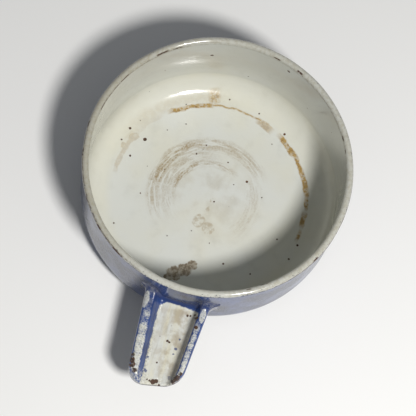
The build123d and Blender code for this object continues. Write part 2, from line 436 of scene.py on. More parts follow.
# ---------------------------------------------------------------- materials
def tea_stains(s, radius, angle, loose, loose_radius, patchy):
    """Brushed swirls, blots and a thin film on the floor."""
    along_brush = s.join(s.times(radius, 0.9), s.times(angle, 0.045), 0.0)
    brushed = s.ramp(s.noise(1.0, 4.0, 0.6, at=along_brush), 0.36, 0.58)
    outer_swirl = s.times(band(s, loose_radius, 23.5, 2.6, 1.8), arc_window(s, angle, 42, 214, 16))
    inner_swirl = s.times(band(s, loose_radius, 14.8, 1.2, 1.3), arc_window(s, angle, 58, 200, 18))
    between = s.times(band(s, loose_radius, 19.0, 3.5, 3.0), arc_window(s, angle, 95, 222, 22), 0.55)
    right_swirl = s.times(band(s, loose_radius, 19.0, 2.4, 3.0), arc_window(s, angle, -42, 40, 14), 0.55)
    swirl = s.times(s.most(outer_swirl, inner_swirl, between, right_swirl), brushed)
    scratchy = s.ramp(s.noise(0.7, 5.0, 0.75), 0.40, 0.60, 0.35, 1.0)
    heavier = s.ramp(s.math("ABSOLUTE", s.minus(angle, 165.0)), 75.0, 20.0, 0.62, 1.0)
    blot = plan_spots(s, loose, BLOTS)
    film = s.times(s.ramp(radius, 30.0, 6.0), s.ramp(s.noise(6.0, 4.0), 0.42, 0.7), 0.18)
    return s.most(s.times(swirl, scratchy, heavier, 1.15), s.times(blot, patchy, 0.6), film)


def ochre_stains(s, angle, loose, loose_radius, loose_angle, patchy):
    """Soap rings on the fillet, a drip above them, a haze and a patch beside them."""
    rings = s.most(*(
        s.times(band(s, loose_radius, at, half, 0.35), arc_window(s, loose_angle, start, end, 2.5), strength)
        for at, half, start, end, strength in SOAP_RINGS
    ))
    drip_edge = s.ramp(s.noise(1.4, 5.0, 0.7), 0.30, 0.56)
    drip = s.times(
        band(s, loose_radius, 45.5, 3.0, 1.6), arc_window(s, loose_angle, 99.5, 105.0, 2.0), drip_edge, 0.85)
    far_haze = s.times(band(s, loose_radius, 44.5, 2.6, 1.6), arc_window(s, angle, 98, 152, 12), 0.16)
    left_patch = s.times(plan_spots(s, loose, LEFT_PATCH), 0.35)
    return s.times(s.most(rings, drip, far_haze, left_patch), s.math("ADD", patchy, 0.5, clamp=True))


def bead_wear(s, angle):
    """Masks on the bead: its blue edge, blue flecks, soil, brown creases and chips.

    The angle over the bead runs from 0 outward over 90 on top to 180 inside.
    """
    tight_radius, tight_angle, tight_z = polar(s, s.shaken(0.8, 0.28))
    over = s.math("ARCTAN2", s.minus(tight_z, bead_z), s.minus(tight_radius, bead_r))
    over = s.math("DEGREES", over)
    on_bead = s.ramp(tight_z, bead_z - 1.2, bead_z - 0.6)

    ragged = s.times(s.minus(s.noise(0.8, 5.0, 0.75), 0.5), 120.0)
    wander = s.times(s.minus(s.noise(7.0, 3.0), 0.5), 70.0)
    blue_start = s.ramp(s.plus(over, s.plus(ragged, wander)), 22.0, 6.0)
    blue_edge = s.times(blue_start, s.ramp(over, -160, -120), on_bead)
    flecks = s.times(band(s, over, 35.0, 32.0, 8.0), s.ramp(s.noise(0.9, 4.0, 0.7), 0.60, 0.66), on_bead)

    soiled = s.plus(0.15, s.times(s.ramp(s.noise(1.6, 6.0, 0.75), 0.42, 0.62), 0.6))
    soiled = s.plus(soiled, s.times(arc_window(s, angle, 130, 235, 35), 0.4))
    soiled = s.minus(soiled, s.times(arc_window(s, angle, -115, -70, 20), 0.4))
    soiled = s.times(s.most(soiled, 0.0), on_bead)

    creases = s.most(*(
        s.times(band(s, over, bead, wide, bead_soft), arc_window(s, angle, start, end, soft))
        for bead, wide, bead_soft, start, end, soft in BEAD_CREASES
    ))
    creases = s.times(creases, s.ramp(s.noise(2.6, 5.0, 0.7), 0.40, 0.50), on_bead)
    chips = s.most(*(
        s.times(arc_window(s, tight_angle, at - half, at + half, 0.5), band(s, over, bead, wide, 6.0))
        for at, bead, half, wide in RIM_CHIPS
    ))
    chips = s.times(chips, on_bead, s.ramp(s.noise(1.1, 3.0, 0.6), 0.36, 0.46))
    return blue_edge, flecks, soiled, creases, chips


def clean_lining(s, radius, angle, z, low):
    """The lining's own white: creamier on the fillet, greyer up the wall and duller on the left."""
    broad = s.noise(26.0, 3.0, 0.5)
    tint = s.mix(s.ramp(broad, 0.35, 0.75), WHITE, s.mix(0.45, WHITE, CREAM))
    tint = s.mix(s.times(s.ramp(s.noise(7.0, 4.0), 0.5, 0.8), 0.22), tint, GREY)
    on_fillet = s.times(s.ramp(radius, FLOOR_RING - 3.0, FLOOR_RING + 2.0), low)
    tint = s.mix(s.times(on_fillet, 0.34), tint, CREAM)
    wall_share = s.plus(s.times(s.ramp(z, 9.6, 11.2), 0.22), s.times(s.ramp(z, 11.0, 26.0), 0.36))
    tint = s.mix(wall_share, tint, GREY)
    cloudy = s.ramp(s.noise(8.0, 5.0, 0.65), 0.3, 0.6, 0.55, 1.0)
    dull = s.times(arc_window(s, angle, 140, 232, 25), s.ramp(z, 2.5, 10.0), cloudy)
    return s.mix(s.times(dull, 0.6), tint, GREY)


def lining_material():
    """White lining: tea-brown soap rings and swirls, chips, pinholes and a worn edge on the bead."""
    s = Shader("white_lining")
    loose = s.shaken(5.0, 1.3)
    tight = s.shaken(0.9, 0.22)
    radius, angle, z = polar(s, s.true)
    loose_radius, loose_angle, _ = polar(s, loose)
    low = s.ramp(z, 14.0, 9.0)
    patchy = s.ramp(s.noise(2.2, 5.0, 0.65), 0.38, 0.62)

    tea = s.times(tea_stains(s, radius, angle, loose, loose_radius, patchy), low)
    ochre = s.times(ochre_stains(s, angle, loose, loose_radius, loose_angle, patchy), low)
    near_shape = plan_spots(s, s.shaken(2.5, 1.8), NEAR_PATCH)
    near_patch = s.times(near_shape, s.ramp(s.noise(1.6, 5.0, 0.7), 0.36, 0.6))
    scuffs = s.times(s.ramp(s.noise(1.3, 5.0, 0.7), 0.63, 0.70), s.ramp(z, 20.0, 34.0), 0.5)
    floor_marks = s.times(plan_spots(s, tight, FLOOR_SPOTS), low)
    wall_marks = spots(s, tight, [wall_place(*chip) for chip in WALL_CHIPS])
    rust_marks = s.times(plan_spots(s, tight, RUST_SPOTS), low)
    pits = s.most(pinholes(s, 4.2, 0.30, 0.45), pinholes(s, 7.5, 0.42, 0.3))
    blue_edge, flecks, soiled, creases, rim_marks = bead_wear(s, angle)
    chips = s.most(floor_marks, wall_marks, rim_marks)

    tint = clean_lining(s, radius, angle, z, low)
    tint = s.mix(tea, tint, TEA)
    tint = s.mix(ochre, tint, s.mix(s.ramp(s.noise(1.2, 4.0, 0.6), 0.4, 0.7), OCHRE, s.mix(0.5, OCHRE, RUST)))
    tint = s.mix(near_shape, tint, s.mix(0.55, tint, TEA))
    tint = s.mix(s.times(near_patch, 0.85), tint, s.mix(s.noise(0.8), NEAR_LIGHT, NEAR_DARK))
    tint = s.mix(scuffs, tint, GREY)
    tint = s.mix(soiled, tint, s.mix(s.noise(1.0, 4.0), SOIL_DARK, SOIL_LIGHT))
    tint = s.mix(s.times(creases, 0.85), tint, s.mix(s.noise(1.0), CHIP, CREASE_LIGHT))
    tint = s.mix(flecks, tint, NAVY)
    tint = s.mix(blue_edge, tint, NAVY)
    tint = s.mix(s.times(pits, 0.75), tint, CHIP)
    tint = s.mix(chips, tint, s.mix(s.noise(0.6), CHIP, RUST))
    tint = s.mix(rust_marks, tint, RUST)

    broken = s.most(chips, rust_marks, pits)
    worn = s.times(s.ramp(s.noise(3.0, 5.0), 0.4, 0.8), 0.12)
    rough = s.plus(s.plus(worn, 0.13), s.times(s.most(ochre, tea, near_patch), 0.30))
    rough = s.most(rough, s.times(broken, 0.75))
    height = s.minus(s.times(ochre, 0.15), s.most(broken, s.times(flecks, 0.5)))
    return glaze(s, tint, rough, height, 0.14)


def blue_colour(s):
    """Cobalt coat colour with cloudy thickness, darker where the glass pooled, and its own pits."""
    cloud = s.ramp(s.noise(9.0, 5.0, 0.6), 0.35, 0.7)
    tint = s.mix(cloud, BLUE, s.mix(0.45, BLUE, NAVY))
    haze = s.ramp(s.noise(4.0, 5.0, 0.65), 0.5, 0.78)
    tint = s.mix(s.times(haze, 0.35), tint, LILAC)
    return s.mix(s.times(pinholes(s, 3.6, 0.3, 0.4), 0.8), tint, CHIP)


def jacket_material():
    """Blue outside: a painted grey-lilac reflection low on the wall, where the glaze is also rougher; painted
    shade under the bead; worn to steel round the standing ring.
    """
    s = Shader("blue_jacket")
    radius, _, z = polar(s, s.true)
    # painted reflection: grey-lilac low on the outside wall, mixed in as colour; the same mask roughens the
    # glaze there
    rubbed = s.times(s.ramp(z, 40.0, 30.0), s.ramp(s.noise(11.0, 4.0, 0.6), 0.3, 0.6))
    # painted shade: navy band just under the bead
    shade_under_bead = s.ramp(s.plus(z, s.times(s.noise(6.0), 2.5)), bead_z - 3.0, bead_z + 0.2)
    scratched = s.times(s.ramp(s.noise(1.0, 5.0, 0.7), 0.64, 0.70), s.ramp(s.noise(18.0, 2.0), 0.45, 0.6))
    ring_edge = s.ramp(s.noise(2.6, 5.0, 0.7), 0.40, 0.52)
    ring_wear = s.times(band(s, radius, 40.0, 3.0, 2.5), s.ramp(z, 1.2, 0.4), ring_edge)
    chips = s.times(s.ramp(s.noise(5.0, 6.0, 0.75), 0.735, 0.75), s.ramp(z, 41.0, 38.0))

    tint = blue_colour(s)
    # painted reflection mixed into the blue
    tint = s.mix(s.times(rubbed, 0.78), tint, LILAC)
    tint = s.mix(shade_under_bead, tint, NAVY)
    tint = s.mix(s.times(scratched, 0.7), tint, WHITE)
    tint = s.mix(ring_wear, tint, s.mix(s.noise(0.8), RUST, CHIP))
    tint = s.mix(chips, tint, s.mix(s.noise(0.5), CHIP, RUST))
    rough = s.plus(0.14, s.times(s.most(rubbed, s.times(scratched, 0.6)), 0.14))
    rough = s.most(rough, s.times(s.most(ring_wear, chips), 0.75))
    height = s.minus(1.0, s.most(ring_wear, chips, s.times(scratched, 0.3)))
    return glaze(s, tint, rough, height, 0.16)


def white_outline(s, z, loose_x, loose_y, along):
    """How far inside the white paint's outline a point of the handle is, and where the paint shows."""
    left_edge = s.ramp(loose_y, -54.0, -90.0, -6.6, -5.4)
    right_edge = s.ramp(loose_y, -54.0, -90.0, 9.6, 7.2)
    from_side = s.least(s.minus(loose_x, left_edge), s.minus(right_edge, loose_x))
    rounding = s.most(s.minus(3.0, from_side), 0.0)
    from_lip = s.minus(s.minus(-55.4, loose_y), s.times(s.times(rounding, rounding), 0.22))
    inside = s.least(from_side, from_lip)
    ragged = s.times(s.minus(s.noise(0.8, 5.0, 0.7), 0.5), 2.2)
    shows = s.ramp(s.plus(inside, s.times(ragged, along)), -0.3, 0.35)
    above_edge = s.ramp(z, SKIRT_EDGE + 0.55, SKIRT_EDGE + 0.85)
    below_crest = s.ramp(z, CREST_TOP - 0.3, CREST_TOP - 1.1)
    return inside, s.times(shows, above_edge, below_crest)


def panel_colour(s, inside, loose_x, loose_y, along):
    """The handle's white: clouded lengthwise, patchily tan with the tan strengthened towards the right as
    painted shade, blue near its edges, and painted shade along its right corner.
    """
    x, y, z = s.split(s.true)
    lengthwise = s.join(x, s.times(y, 0.16), z)
    cloudy = s.ramp(s.noise(3.2, 4.0, 0.6, at=lengthwise), 0.36, 0.68)
    streaky = s.ramp(s.noise(1.3, 5.0, 0.65, at=lengthwise), 0.46, 0.74)
    # patchy tan stain, made stronger towards the right as painted shade of the trough's shaded side
    tan_and_shade = s.times(s.ramp(s.noise(5.0, 5.0, 0.6), 0.44, 0.66), s.ramp(x, -3.5, 3.0, 0.3, 0.6))
    blue_near = s.times(s.ramp(inside, 2.4, 0.0), s.ramp(s.noise(0.9, 5.0, 0.7), 0.48, 0.62), along, 0.8)
    blue_specks = plan_spots(s, s.shaken(1.0, 0.6), BLUE_FLECKS)
    # painted shade: a dark grey band along the trough's right corner, where the right crest's shadow falls
    corner = s.ramp(s.minus(s.ramp(loose_y, -54.0, -90.0, 7.8, 5.6), loose_x), 2.2, -0.4)
    painted_trough_shade = s.times(corner, s.ramp(s.noise(2.0, 5.0, 0.65), 0.2, 0.55, 0.45, 0.9))

    tint = s.mix(s.times(cloudy, 0.85), WHITE, CREAM)
    tint = s.mix(s.times(streaky, 0.5), tint, GREY)
    tint = s.mix(tan_and_shade, tint, TEA)
    tint = s.mix(blue_near, tint, LILAC)
    tint = s.mix(s.times(blue_specks, 0.85), tint, s.mix(0.4, BLUE, LILAC))
    return s.mix(painted_trough_shade, tint, TROUGH_SHADE)


def handle_rub_and_highlights(s, y, z, loose_y, along):
    """Masks where the handle's coat is rubbed, along the crests and at the tip, and painted highlights beside
    the root.
    """
    across_crest = s.ramp(z, CREST_TOP - 1.1, CREST_TOP + 0.02)
    grain = s.minus(s.noise(0.55, 4.0, 0.7), 0.5)
    drift = s.minus(s.noise(3.4, 4.0, 0.6), 0.5)
    wear = s.plus(across_crest, s.plus(s.times(grain, 1.3), s.times(drift, 1.5)))
    wear = s.plus(wear, s.times(along, 0.4))
    towards_tip = s.ramp(y, -58.0, -66.0, 0.25, 1.0)
    crests = s.times(s.ramp(wear, 0.85, 1.35), towards_tip, s.ramp(across_crest, 0.1, 0.6))

    # painted highlights: white spots on the crests beside the root
    shortened = s.vector("MULTIPLY", s.shaken(0.9, 0.5), (1.0, 0.42, 1.0))
    root_highlights = s.times(spots(s, shortened, ROOT_SHINES), s.ramp(s.noise(0.8, 4.0, 0.7), 0.3, 0.5))
    tip_edge = s.ramp(s.noise(0.8, 5.0, 0.7), 0.42, 0.60)
    above_edge = s.ramp(z, SKIRT_EDGE + 0.6, SKIRT_EDGE + 1.5)
    tip = s.times(s.ramp(loose_y, -84.0, -87.5), tip_edge, above_edge, 0.8)
    return crests, root_highlights, tip


def handle_material(name):
    """One paint scheme for both coats of the handle: white trough, blue sides with painted shade low on them,
    crests rubbed to white, painted highlights beside the root.
    """
    s = Shader(name)
    x, y, z = s.split(s.true)
    loose_x, loose_y, _ = s.split(s.shaken(2.2, 0.7))
    along = s.ramp(loose_y, -52.0, -88.0)
    inside, white_area = white_outline(s, z, loose_x, loose_y, along)
    crests, root_highlights, tip = handle_rub_and_highlights(s, y, z, loose_y, along)

    # painted shade: navy on the outer skirts of both sides
    shaded_low_sides = s.times(
        s.ramp(z, CREST_TOP - 2.5, SKIRT_EDGE + 1.0), s.ramp(s.math("ABSOLUTE", x), 8.5, 9.6), 0.85)
    above = s.ramp(z, SKIRT_EDGE + 0.9, SKIRT_EDGE + 1.3)
    dark = s.times(plan_spots(s, s.shaken(0.8, 0.25), HANDLE_SPOTS + HANDLE_CHIPS), above)
    edge = s.times(s.ramp(z, SKIRT_EDGE + 0.9, SKIRT_EDGE + 0.2), s.ramp(s.noise(2.2, 5.0, 0.7), 0.44, 0.52))
    rust = s.times(plan_spots(s, s.shaken(1.3, 0.9), TIP_RUST), s.ramp(s.noise(0.9, 4.0, 0.6), 0.32, 0.46))
    lip_face = s.times(s.ramp(z, TROUGH_FLOOR - 0.25, TROUGH_FLOOR - 0.7), s.ramp(y, -82.0, -84.0))
    lip = s.times(lip_face, s.ramp(s.noise(1.3, 4.0, 0.7), 0.34, 0.46))

    tint = s.mix(shaded_low_sides, blue_colour(s), NAVY)
    tint = s.mix(s.times(s.ramp(y, -56.5, -53.0), 0.7), tint, NAVY)
    tint = s.mix(white_area, tint, panel_colour(s, inside, loose_x, loose_y, along))
    # one white for the rubbed crests and tip and for the painted highlights beside the root
    worn_and_highlight_white = s.mix(s.ramp(s.noise(0.9, 4.0), 0.35, 0.7), WHITE, s.mix(0.6, CREAM, GREY))
    tint = s.mix(s.most(crests, s.times(root_highlights, 0.8), tip), tint, worn_and_highlight_white)
    tint = s.mix(s.times(pinholes(s, 3.0, 0.26, 0.25), 0.6), tint, CHIP)
    tint = s.mix(s.most(rust, edge), tint, s.mix(s.ramp(s.noise(0.7, 3.0), 0.45, 0.65), CHIP, RUST))
    tint = s.mix(dark, tint, s.mix(s.noise(0.5), CHIP, RUST))
    tint = s.mix(lip, tint, s.mix(s.ramp(s.noise(1.8), 0.45, 0.55), NAVY, CHIP))

    bare = s.most(dark, rust, edge)
    rubbed = s.most(crests, tip)
    rough = s.most(s.plus(0.14, s.times(rubbed, 0.2)), s.times(bare, 0.72))
    height = s.minus(1.0, s.most(bare, s.times(rubbed, 0.35)))
    return glaze(s, tint, rough, height, 0.16)


def steel_material(name, bright, dark):
    """Bare pressed steel or weld metal, browned with rust."""
    s = Shader(name)
    rusted = s.ramp(s.noise(3.0, 6.0, 0.7), 0.4, 0.62)
    tint = s.mix(rusted, bright, s.mix(s.noise(0.8), dark, RUST))
    s.feed(s.bsdf.inputs["Base Color"], tint)
    s.feed(s.bsdf.inputs["Metallic"], s.ramp(rusted, 0.0, 1.0, 0.9, 0.1))
    s.feed(s.bsdf.inputs["Roughness"], s.ramp(rusted, 0.0, 1.0, 0.38, 0.85))
    s.feed(s.bsdf.inputs["Normal"], s.bump(s.noise(0.4, 4.0, 0.6), 0.03))
    return s.material


def ground_material():
    """Near-black first coat with fine bubbles."""
    s = Shader("ground_coat")
    tint = s.mix(s.ramp(s.noise(2.0, 5.0, 0.65), 0.4, 0.7), CHIP, NAVY)
    rough = s.ramp(s.noise(1.0, 4.0), 0.3, 0.7, 0.25, 0.6)
    return glaze(s, tint, rough, pinholes(s, 1.2, 0.5, 0.5), 0.05)


# ---------------------------------------------------------------- handle: a sheet drawn over a trough
LEFT, RIGHT = -1, 1
LIP_ROUND, TROUGH_ROUND = 1.5, 1.6
SLOPE_RUN = {LEFT: 2.8, RIGHT: 1.9}
SIDE_ROLL, CREST_ROLL, LIP_ROLL = 1.8, 3.6, 0.9  # rounding of skirts, of crests and trough at the tip
CORNER = {LEFT: 7.5, RIGHT: 6.5}  # seen from above
TIP_SLANT = 0.2  # the tip is cut at a slant, further out on the left
ROOT_BLEND = {LEFT: 2.4, RIGHT: 3.6}
INNER_BLEND = 0.4  # share of the root blend that surfaces within the sheet have
NARROWER = {LEFT: -0.4, RIGHT: 0.0}  # how much each side gives away at the tip
FLOOR_LESS = {LEFT: 1.1, RIGHT: -0.6}  # how much narrower the trough floor is than in the frame
ROOT_X = 6.0  # how far from the middle the wall gives the root's y
ROOT_Y = -math.sqrt(WALL_LOW**2 - ROOT_X**2)
WALL_AT_ROOT = WALL_LOW - 0.6  # where the handle starts, just inside the jacket
SHIFT_X = -0.25  # of the whole handle
UNEVEN, UNEVEN_SIZE = 0.14, 7.0  # small lumps and how wide they are
FINE = 10  # points on each rounding
ROOT_RUN, MIDDLE_RUN, TIP_RUN = 4.0, 26.5, 4.5  # lengths where rows stand close, evenly, and close
HANDLE_RUN = ROOT_RUN + MIDDLE_RUN + TIP_RUN
MIDDLE_ROWS = 64
HALF_COLUMNS = 7 * FINE + 1  # from the middle of the trough to the outline
SETTLING_ROUNDS = 5  # each y depends on x, which depends on y


def lerp(a, b, share):
    return a + (b - a) * share


def blend_height(distance, radius):
    """Height that a root fillet of this radius adds at this distance from the wall."""
    away = np.clip(radius - distance, 0.0, radius)
    return radius - np.sqrt(np.maximum(radius**2 - away**2, 0.0))


def blend_share(depth):
    """Share of the root blend at this depth in the sheet."""
    return 1.0 if depth == 0 else INNER_BLEND


def wall_gap(x, y):
    """Distance outward from the bowl's wall."""
    return np.hypot(x, y) - WALL_AT_ROOT


def half_outline(side, x, y, depth):
    """Half width of the handle seen from above, with the root's flare."""
    share = np.clip((ROOT_Y - y) / (HANDLE_TIP + ROOT_Y), 0.0, 1.0)
    plain = lerp(ROOT_HALF, TIP_HALF - NARROWER[side], share)
    return plain - depth + blend_height(wall_gap(x, y), ROOT_BLEND[side] * blend_share(depth))


def top_line(side, y, depth):
    """One half of the section's top at each y, from the trough's middle outward, without the outer roll."""
    slope_angle = math.atan2(CREST_TOP - TROUGH_FLOOR, SLOPE_RUN[side])
    share = (ROOT_Y - y) / (HANDLE_TIP + ROOT_Y)
    floor_half = lerp(ROOT_FLOOR_HALF, TIP_FLOOR_HALF, share) - FLOOR_LESS[side]
    floor_half = floor_half + depth * math.tan(slope_angle / 2)
    low, high = TROUGH_FLOOR - depth, CREST_TOP - depth
    hollow, crown = TROUGH_ROUND + depth, max(LIP_ROUND - depth, 0.3)
    hollow_run, crown_run = hollow * math.tan(slope_angle / 2), crown * math.tan(slope_angle / 2)
    xs, zs = [], []
    for i in range(2 * FINE):
        xs.append((floor_half - hollow_run) * i / (2 * FINE))
        zs.append(low + 0 * y)
    for i in range(FINE + 1):
        bend = slope_angle * i / FINE
        xs.append(floor_half - hollow_run + hollow * math.sin(bend))
        zs.append(low + hollow * (1 - math.cos(bend)) + 0 * y)
    start_x, start_z = xs[-1], zs[-1]
    end_x = floor_half + SLOPE_RUN[side] + crown_run - crown * math.sin(slope_angle)
    end_z = high - crown * (1 - math.cos(slope_angle))
    for i in range(1, FINE):
        xs.append(lerp(start_x, end_x, i / FINE))
        zs.append(lerp(start_z, end_z, i / FINE))
    for i in range(FINE + 1):
        bend = slope_angle * (1 - i / FINE)
        xs.append(floor_half + SLOPE_RUN[side] + crown_run - crown * math.sin(bend))
        zs.append(high - crown * (1 - math.cos(bend)) + 0 * y)
    return np.array(xs), np.array(zs)


def handle_half(side, along, depth):
    """One half of the upper surface this deep in the sheet: x, y, z of columns from the trough outward."""
    y = np.repeat(lerp(ROOT_Y, -HANDLE_TIP, along)[None, :], HALF_COLUMNS, axis=0)
    corner = CORNER[side] - depth
    for _ in range(SETTLING_ROUNDS):
        rows = top_line(side, y[0], depth)[0].shape[0]
        lines = [top_line(side, y[k], depth) for k in range(rows)]
        x = np.array([lines[k][0][k] for k in range(rows)])
        z = np.array([lines[k][1][k] for k in range(rows)])
        crest = []
        for k in range(HALF_COLUMNS - rows):
            share = math.sin(math.pi / 2 * (k + 1) / (HALF_COLUMNS - rows))
            column_y = y[rows + k]
            crest_x = top_line(side, column_y, depth)[0][-1]
            outline = half_outline(side, np.full_like(column_y, ROOT_HALF), column_y, depth)
            crest.append(lerp(crest_x, outline, share))
        x = np.vstack([x, np.array(crest)])
        z = np.vstack([z, np.full((HALF_COLUMNS - rows, y.shape[1]), CREST_TOP - depth)])
        wall = -np.sqrt(np.maximum(WALL_AT_ROOT**2 - x**2, 0.0))
        half = half_outline(side, x, y, depth)
        past_side = np.clip(x - (half - corner), 0.0, corner)
        end = -(HANDLE_TIP - depth - corner + np.sqrt(np.maximum(corner**2 - past_side**2, 0.0)))
        y = lerp(wall, end, along[None, :])
    return x, y, z


def rolled_over(side, x, y, z, depth):
    """Heights of one half once its outline is rounded over and its root is blended into the wall."""
    corner = CORNER[side] - depth
    half = half_outline(side, x, y, depth)
    u, w = x - (half - corner), -y - (HANDLE_TIP - depth - corner)
    beyond = np.hypot(np.maximum(u, 0.0), np.maximum(w, 0.0))
    inside = corner - beyond - np.minimum(np.maximum(u, w), 0.0)
    towards_tip = np.arctan2(np.maximum(w, 0.0), np.maximum(u, 1e-6)) / (math.pi / 2)
    towards_tip = np.where(w > 0, towards_tip, 0.0)
    towards_tip = towards_tip * towards_tip * (3 - 2 * towards_tip)
    tip_roll = lerp(LIP_ROLL, CREST_ROLL, (z - z.min()) / (z.max() - z.min()))
    roll = np.maximum(lerp(SIDE_ROLL, tip_roll, towards_tip) - depth, 0.25)
    z = z - blend_height(np.maximum(inside, 0.0), roll)
    across = np.clip(side * x / 12.0, -1.0, 1.0)
    root = lerp(ROOT_BLEND[LEFT], ROOT_BLEND[RIGHT], 0.5 + 0.75 * across - 0.25 * across**3)
    return z + blend_height(np.maximum(wall_gap(x, y), 0.0), root * blend_share(depth))


def handle_grid(depth):
    """The handle's upper surface this deep in the sheet: arrays x, y, z of rows from the wall to the tip."""
    along = [ROOT_RUN * (1 - math.cos(math.pi / 2 * i / FINE)) for i in range(FINE)]
    along += [ROOT_RUN + MIDDLE_RUN * i / MIDDLE_ROWS for i in range(MIDDLE_ROWS)]
    tip_turns = [math.pi / 2 * i / (2 * FINE) for i in range(2 * FINE + 1)]
    along += [ROOT_RUN + MIDDLE_RUN + TIP_RUN * math.sin(turn) for turn in tip_turns]
    along = np.array(along) / HANDLE_RUN
    halves = {}
    for side in (LEFT, RIGHT):
        x, y, z = handle_half(side, along, depth)
        halves[side] = (side * x, y, rolled_over(side, x, y, z, depth))
    left = [part[:0:-1] for part in halves[LEFT]]
    x, y, z = (np.vstack([a, b]).T for a, b in zip(left, halves[RIGHT]))
    lumps = np.array([
        [noise.noise(Vector((a / UNEVEN_SIZE, b / UNEVEN_SIZE, 3.0))) for a, b in zip(*row)]
        for row in zip(x, y)
    ])
    off_wall = np.clip(wall_gap(x, y) / 6.0, 0.0, 1.0)
    far = np.clip(wall_gap(x, y) / HANDLE_RUN, 0.0, 1.0)
    return x + SHIFT_X, y + TIP_SLANT * (x + 1.0) * far**2, z + UNEVEN * lumps * off_wall


WINDOW = (slice(5, 92), slice(35, 106))  # rows and columns of the grid that the white panel covers
INSIDE_WINDOW = (slice(6, 91), slice(36, 105))
DROPS = 8  # rows down a skirt


def handle_shell(name, outer_depth, inner_depth, stride=1, window=False):
    """Closed sheet between two depths; its window, if any, is lowered to leave room for the white panel."""
    top, under = handle_grid(outer_depth), handle_grid(inner_depth)
    if window:
        for axis, lowered in zip(top, handle_grid(outer_depth + COVER)):
            axis[INSIDE_WINDOW] = lowered[INSIDE_WINDOW]
    top, under = ([axis[::stride, ::stride] for axis in grid] for grid in (top, under))
    under[2] = np.maximum(under[2], SKIRT_EDGE + (inner_depth + outer_depth) / 2 + 0.02)
    rows, columns = top[0].shape
    verts, faces = [], []

    def add(x, y, z):
        verts.append((float(x), float(y), float(z)))
        return len(verts) - 1

    def sheet(grid, flip):
        index = [[add(*(axis[i, j] for axis in grid)) for j in range(columns)] for i in range(rows)]
        for i in range(rows - 1):
            for j in range(columns - 1):
                quad = (index[i][j], index[i + 1][j], index[i + 1][j + 1], index[i][j + 1])
                faces.append(quad[::-1] if flip else quad)
        return index

    upper, lower = sheet(top, False), sheet(under, True)
    loop = [(i, 0) for i in range(rows)] + [(rows - 1, j) for j in range(1, columns)]
    loop += [(i, columns - 1) for i in range(rows - 2, -1, -1)]
    rim, inner_rim = [upper[i][j] for i, j in loop], [lower[i][j] for i, j in loop]
    edge, round_over = SKIRT_EDGE + outer_depth, (inner_depth - outer_depth) / 2

    def down(line, share):
        """The line lowered this share of its way to where the skirt's edge begins to turn."""
        return [add(*verts[v][:2], lerp(verts[v][2], edge + round_over, share)) for v in line]

    def turned_under(turn):
        """The line of the rounded edge between outside and inside, at this angle."""
        share, height = (1 - math.cos(turn)) / 2, edge + round_over * (1 - math.sin(turn))
        pairs = [(verts[a], verts[b]) for a, b in zip(rim, inner_rim)]
        return [add(lerp(a[0], b[0], share), lerp(a[1], b[1], share), height) for a, b in pairs]

    strips = [rim]
    strips += [down(rim, k / DROPS) for k in range(1, DROPS + 1)]
    strips += [turned_under(math.pi * k / FINE) for k in range(1, FINE)]
    strips += [down(inner_rim, k / DROPS) for k in range(DROPS, 0, -1)]
    strips.append(inner_rim)
    for above, below in zip(strips, strips[1:]):
        for a, b in zip(range(len(loop) - 1), range(1, len(loop))):
            faces.append((above[a], below[a], below[b], above[b]))

    # the end inside the wall: upper and lower rows joined, and the two skirt ends
    for j in range(columns - 1):
        faces.append((upper[0][j], upper[0][j + 1], lower[0][j + 1], lower[0][j]))
    faces.append(tuple(strip[0] for strip in reversed(strips)))
    faces.append(tuple(strip[-1] for strip in strips))
    return finish_mesh(name, verts, faces)


def handle_panel(name):
    """The white panel in the trough: a closed patch as thick as the cover coat."""
    grids = [[axis[WINDOW] for axis in handle_grid(depth)] for depth in (0.0, COVER)]
    rows, columns = grids[0][0].shape
    verts = [
        tuple(float(c) for c in point) for grid in grids for point in zip(*(axis.ravel() for axis in grid))
    ]
    half = rows * columns
    faces = []
    for i in range(rows - 1):
        for j in range(columns - 1):
            a = i * columns + j
            quad = (a, a + columns, a + columns + 1, a + 1)
            faces.append(quad)
            faces.append(tuple(half + v for v in reversed(quad)))
    loop = [i * columns for i in range(rows)] + [(rows - 1) * columns + j for j in range(1, columns)]
    loop += [i * columns + columns - 1 for i in range(rows - 2, -1, -1)] + list(range(columns - 2, 0, -1))
    for a, b in zip(loop, loop[1:] + loop[:1]):
        faces.append((a, half + a, half + b, b))
    return finish_mesh(name, verts, faces)


def warped_copy(name, node):
    """The CAD node's own mesh, moved as the other pieces are."""
    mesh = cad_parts[node].data
    verts = [tuple(v.co / MM) for v in mesh.vertices]
    return finish_mesh(name, verts, [tuple(face.vertices) for face in mesh.polygons])


def wall_layer(name, outer_depth, inner_depth):
    """A layer inside the wall, from the base over the curled rim and back."""
    under = bowl_profile(outer_depth, *HIDDEN_STEPS, bead_foot)
    over = bowl_profile(inner_depth, *HIDDEN_STEPS, bead_z)
    bead = bead_arc(bead_radius - outer_depth, -70, 180, 24)
    return turned(name, under + bead + over[:0:-1], HIDDEN_SEGMENTS)


# ---------------------------------------------------------------- the pieces
jacket_out = bowl_profile(0.0, *JACKET_STEPS, bead_foot) + bead_arc(bead_radius, -85, 0, 14)
jacket_back = bowl_profile(COVER, *HIDDEN_STEPS, bead_foot) + bead_arc(bead_radius - COVER, -80, 0, 8)
lining_back = bowl_profile(SHEET - COVER, *HIDDEN_STEPS, bead_z) + bead_arc(bead_radius - COVER, 175, 0, 12)
lining_front = bowl_profile(SHEET, *LINING_STEPS, bead_z) + bead_arc(bead_radius, 174, 0, 28)

